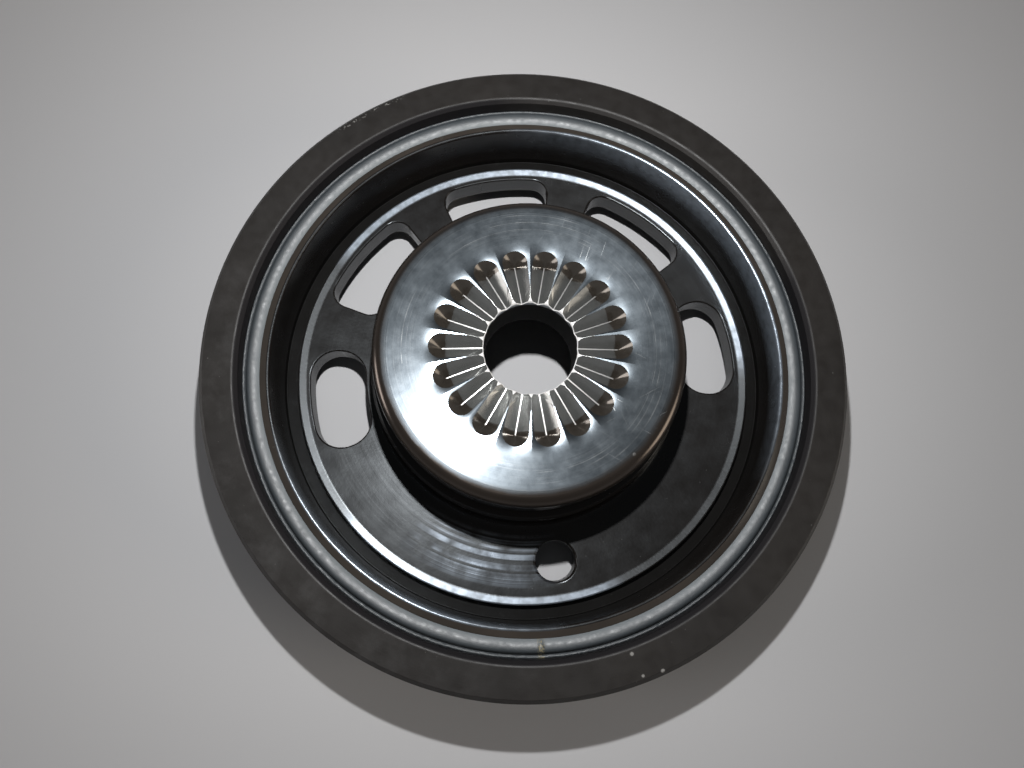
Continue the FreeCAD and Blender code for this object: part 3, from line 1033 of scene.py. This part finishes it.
def opening_levels(upper_break):
    """How an opening's wall runs down through the web: growth, height and lean at each level."""
    levels = []
    for a in spread(0, math.pi / 2, BREAK_STEPS):
        drop = upper_break * (1 - math.cos(a))
        levels.append((upper_break * (1 - math.sin(a)), WEB_TOP - drop, math.sin(a), math.cos(a)))
    for a in spread(0, math.pi / 2, BREAK_STEPS):
        rise = UNDER_BREAK * (1 - math.sin(a))
        levels.append((UNDER_BREAK * (1 - math.cos(a)), WEB_BOTTOM + rise, math.cos(a), -math.sin(a)))
    return levels


def grown(ring, grow):
    return [(x + dx * grow, y + dy * grow) for (x, y), (dx, dy) in ring]


def add_opening(shell, ring, levels):
    """Wall of an opening in the web, with its broken edges."""
    count = len(ring)
    for (g0, z0, s0, n0), (g1, z1, s1, n1) in zip(levels, levels[1:]):
        high, low = grown(ring, g0), grown(ring, g1)
        for i in range(count):
            j = (i + 1) % count
            (ax, ay), (bx, by) = ring[i][1], ring[j][1]
            shell.face([
                ((*high[i], z0), (-ax * s0, -ay * s0, n0)), ((*high[j], z0), (-bx * s0, -by * s0, n0)),
                ((*low[j], z1), (-bx * s1, -by * s1, n1)), ((*low[i], z1), (-ax * s1, -ay * s1, n1))])


def inside_outline(x, y, ring):
    inside = False
    for (ax, ay), (bx, by) in zip(ring, ring[1:] + ring[:1]):
        if (ay > y) != (by > y) and x < ax + (y - ay) * (bx - ax) / (by - ay):
            inside = not inside
    return inside


def add_web_face(shell, inner, outer, rings, z, up):
    """Flat face of the web between two radii, with openings in it."""
    plan = Plan()
    for radius in (inner, outer):
        plan.chain([(radius * c, radius * s) for c, s in bearings(HUB_STEPS)], closed=True)
    for ring in rings:
        plan.chain(ring, closed=True)
    for corners in plan.triangles():
        x, y = centroid(corners)
        if inner < math.hypot(x, y) < outer and not any(inside_outline(x, y, ring) for ring in rings):
            shell.face([((*corner, z), (0, 0, up)) for corner in corners])


def make_hub():
    shell = Shell()
    add_serration(shell)
    edge = EDGE_BREAK
    lip_foot = WEB_EDGE - WEB_LIP_WIDTH
    nose = [
        (SERRATION_RIM, nose_height, 0),
        (NOSE_CROWN, nose_height, NOSE_CROWN_ROUND),
        (NOSE_RADIUS, nose_height - NOSE_CROWN_DROP, NOSE_EDGE_RADIUS),
        (NOSE_RADIUS, SHOULDER + RELIEF_WIDTH, edge),
        (NOSE_RADIUS - RELIEF_DEPTH, SHOULDER + RELIEF_WIDTH - RELIEF_DEPTH, edge),
        (NOSE_RADIUS - RELIEF_DEPTH, SHOULDER, edge),
        (NECK_RADIUS - SHOULDER_CHAMFER, SHOULDER, edge),
        (NECK_RADIUS, SHOULDER - SHOULDER_CHAMFER, edge),
        (NECK_RADIUS, WEB_TOP, WEB_FILLET),
        (NECK_RADIUS + WEB_FILLET, WEB_TOP, 0),
    ]
    rim = [
        (lip_foot - WEB_LIP_ROOM, WEB_TOP, 0),
        (lip_foot, WEB_TOP, WEB_LIP_FILLET),
        (WEB_EDGE, WEB_TOP + WEB_LIP_RISE, WEB_EDGE_RADIUS),
        (WEB_EDGE, WEB_TOP - CHANNEL_DEPTH, edge),
        (RIM_FOOT, WEB_TOP - CHANNEL_DEPTH, edge),
        (RIM_INNER, ring_width - RIM_TOP_RECESS, RIM_EDGE_RADIUS),
        (rim_radius, rubber_seam, edge),
        (rim_radius, rim_bottom + RIM_EDGE_CHAMFER, edge),
        (rim_radius - RIM_EDGE_CHAMFER, rim_bottom, edge),
        (RIM_FOOT, rim_bottom, edge),
        (RIM_FOOT, WEB_BOTTOM, WEB_FILLET),
        (RIM_FOOT - WEB_FILLET, WEB_BOTTOM, 0),
    ]
    seat = nose_height - CLAMP_LENGTH
    boss = [
        (BOSS_RADIUS + WEB_FILLET, WEB_BOTTOM, 0),
        (BOSS_RADIUS, WEB_BOTTOM, WEB_FILLET),
        (BOSS_RADIUS, BOSS_RECESS + BOSS_CHAMFER, edge),
        (BOSS_RADIUS - BOSS_CHAMFER, BOSS_RECESS, edge),
        (RECESS_RADIUS + BOSS_CHAMFER, BOSS_RECESS, edge),
        (RECESS_RADIUS, BOSS_RECESS + BOSS_CHAMFER, edge),
        (RECESS_RADIUS, seat, edge),
        (BORE_RADIUS, seat, edge),
        (BORE_RADIUS, nose_height - BORE_LEVEL, 0),
    ]
    for section in (nose, rim, boss):
        lathe(shell, section, HUB_STEPS)
    long_slot = slot_outline(UPPER_SLOT_SPAN, UPPER_SLOT_CORNER)
    round_slot = slot_outline(SIDE_SLOT_SPAN, SIDE_SLOT_CORNER)
    openings = []
    for place, ring in ((-2, round_slot), (-1, long_slot), (0, long_slot), (1, long_slot), (2, round_slot)):
        turn = math.radians(90 + place * SLOT_STEP)
        openings.append((placed(ring, turn), opening_levels(SLOT_BREAK)))
    hole = placed(hole_outline(), 0.0, (0.0, -HOLE_CIRCLE))
    openings.append((hole, opening_levels(HOLE_BREAK)))
    for ring, levels in openings:
        add_opening(shell, ring, levels)
    tops = [grown(ring, levels[0][0]) for ring, levels in openings]
    add_web_face(shell, NECK_RADIUS + WEB_FILLET, lip_foot - WEB_LIP_ROOM, tops, WEB_TOP, 1)
    unders = [grown(ring, levels[-1][0]) for ring, levels in openings]
    add_web_face(shell, BOSS_RADIUS + WEB_FILLET, RIM_FOOT - WEB_FILLET, unders, WEB_BOTTOM, -1)
    finishes = [hub_coat(), groove_steel(), pit_coat(), root_steel(), facet_steel_glint()]
    fit(shell.build("hub_turned", finishes), "hub")


def track_section():
    """Corners of the ribbed track, from the upper flange down to the lower one."""
    lean = RIB_DEPTH * math.tan(math.radians(RIB_FLANK_ANGLE))
    half_crest = RIB_CREST / 2
    track = pulley_radius - TRACK_STEP
    root = track - RIB_DEPTH
    corners = [(pulley_radius, ring_width - RING_FLANGE + TRACK_STEP, EDGE_BREAK),
               (track, ring_width - RING_FLANGE, EDGE_BREAK)]
    for i in range(RIB_COUNT):
        high = ring_width - RING_FLANGE - i * RIB_PITCH
        low = high - RIB_PITCH
        corners += [(track, high - half_crest, CREST_ROUND), (root, high - half_crest - lean, ROOT_ROUND),
                    (root, low + half_crest + lean, ROOT_ROUND), (track, low + half_crest, CREST_ROUND)]
    corners += [(track, RING_FLANGE, EDGE_BREAK), (pulley_radius, RING_FLANGE - TRACK_STEP, EDGE_BREAK)]
    return corners


def make_belt_ring():
    shell = Shell()
    middle = ring_width / 2
    chamfer = RING_EDGE_CHAMFER
    mouth = RING_BORE_CHAMFER
    edge = EDGE_BREAK
    top = [
        (ring_bore, middle, 0),
        (ring_bore, ring_width - mouth, edge),
        (ring_bore + mouth, ring_width, RING_MOUTH_ROUND),
        (pulley_radius - chamfer, ring_width, edge),
        (pulley_radius, ring_width - chamfer, edge),
    ]
    bottom = [
        (pulley_radius, chamfer, edge),
        (pulley_radius - chamfer, 0, edge),
        (ring_bore + mouth, 0, edge),
        (ring_bore, mouth, edge),
        (ring_bore, middle, 0),
    ]
    lathe(shell, top + track_section() + bottom, RING_STEPS)
    fit(shell.build("belt_ring_turned", [ring_coat()]), "belt_ring")


def add_grid(shell, rows):
    """Closed bands between rings of points, with normals worked out from the points themselves."""
    count = len(rows[0])
    normals = []
    for i, row in enumerate(rows):
        above = rows[max(0, i - 1)]
        below = rows[min(len(rows) - 1, i + 1)]
        normals.append([(Vector(below[j]) - Vector(above[j])).cross(
            Vector(row[(j + 1) % count]) - Vector(row[j - 1])).normalized() for j in range(count)])
    for i in range(len(rows) - 1):
        for j in range(count):
            k = (j + 1) % count
            shell.face([(rows[i][j], normals[i][j]), (rows[i + 1][j], normals[i + 1][j]),
                        (rows[i + 1][k], normals[i + 1][k]), (rows[i][k], normals[i][k])])


def swell(turn, swells):
    """Smooth unevenness that closes on itself round the ring, as a sum of noises."""
    return sum(height * noise.noise(Vector((*polar(fineness, turn), layer)))
               for height, fineness, layer in swells)


def bead_section(turn):
    """Radius and height along the rubber's upper end at one bearing, from the rim out to the ring."""
    bead_outer = ring_bore - BEAD_FOOT
    off = math.degrees(turn) - JOINT_BEARING % 360
    rise = BEAD_CROWN_RISE + swell(turn, BEAD_SWELLS) + JOINT_RISE * math.exp(-(off / JOINT_WIDTH) ** 2)
    spots = []
    for share in spread(0, 1, BEAD_STEPS):
        r = rim_radius + (BEAD_CROWN_RADIUS - rim_radius) * share
        spots.append((r, rubber_seam + rise * (1 - (1 - share) ** 2)))
    fall = rubber_seam + rise - rubber_top
    for a in spread(0, math.pi / 2, BEAD_FALL_STEPS)[1:]:
        r = BEAD_CROWN_RADIUS + (bead_outer - BEAD_CROWN_RADIUS) * math.sin(a)
        spots.append((r, rubber_top + fall * math.cos(a)))
    flash = FLASH_RISE * max(0.0, FLASH_MEAN + swell(turn, FLASH_SWELLS))
    for place, share in FLASH_LINE:
        spots.append((bead_outer + BEAD_FOOT * place, rubber_top + flash * share))
    spots.append((ring_bore, rubber_top))
    return spots


def make_rubber_ring():
    shell = Shell()
    turns = all_round(RUBBER_STEPS)
    sections = [bead_section(turn) for turn in turns]
    rows = [[(*polar(section[i][0], turn), section[i][1]) for turn, section in zip(turns, sections)]
            for i in range(len(sections[0]))]
    add_grid(shell, rows)
    sides = [(ring_bore, rubber_top), (ring_bore, rubber_bottom),
             (rim_radius, rubber_bottom), (rim_radius, rubber_seam)]
    for ends in zip(sides, sides[1:]):
        add_grid(shell, [[(*polar(r, turn), z) for turn in turns] for r, z in ends])
    fit(shell.build("rubber_moulded", [rubber_skin()]), "rubber_ring")


def make_camera():
    data = bpy.data.cameras.new("camera")
    data.sensor_width = SENSOR_WIDTH
    data.lens = FOCAL_LENGTH
    data.clip_start = CLIP_START * MM
    camera = bpy.data.objects.new("camera", data)
    camera.location = Vector(CAMERA_PLACE) * MM
    camera.rotation_euler = [math.radians(a) for a in CAMERA_TURN]
    link(camera)
    bpy.context.scene.camera = camera


def make_lamp():
    data = bpy.data.lights.new("lamp", "AREA")
    data.shape = "DISK"
    data.size = LAMP_WIDTH * MM
    data.energy = LAMP_POWER
    lamp = bpy.data.objects.new("lamp", data)
    lamp.location = Vector(LAMP_PLACE) * MM
    lamp.visible_camera = False
    link(lamp)


def make_room():
    """Room with pale walls under a dim ceiling, two soft bright panels, and a plain backdrop."""
    world = bpy.data.worlds.new("room")
    world.use_nodes = True
    t = Tree(world.node_tree)
    way = t.add("TexCoord").outputs["Generated"]
    height = t.add("SeparateXYZ", {0: way}).outputs["Z"]
    level = t.ramp(height, HORIZON_TOP, CEILING_START, HORIZON_LEVEL, CEILING_LEVEL)
    room = t.add("Background", {"Color": WALL_COLOR, "Strength": level}).outputs[0]
    for bearing, rise, half_width, color, strength in PANELS:
        flat, up = polar(1, math.radians(rise))
        along = t.vector("DOT_PRODUCT", way, (*polar(flat, math.radians(bearing)), up))
        edge = math.cos(math.radians(half_width))
        core = math.cos(math.radians(half_width * PANEL_CORE))
        lit = t.ramp(along, edge, core, 0.0, strength)
        panel = t.add("Background", {"Color": color, "Strength": lit}).outputs[0]
        room = t.add("AddShader", {0: room, 1: panel}).outputs[0]
    backdrop = t.add("Background", {"Color": BACKDROP_GREY, "Strength": 1.0}).outputs[0]
    t.add("OutputWorld", {"Surface": t.seen(room, backdrop)})
    bpy.context.scene.world = world


def make_floor():
    mesh = bpy.data.meshes.new("floor")
    w = FLOOR_REACH * MM
    mesh.from_pydata([(-w, -w, 0), (w, -w, 0), (w, w, 0), (-w, w, 0)], [], [(0, 1, 2, 3)])
    mesh.materials.append(floor_paper())
    floor = bpy.data.objects.new("floor", mesh)
    link(floor)


bpy.context.scene.view_settings.view_transform = "Standard"
make_camera()
make_lamp()
make_room()
make_floor()
make_hub()
make_belt_ring()
make_rubber_ring()
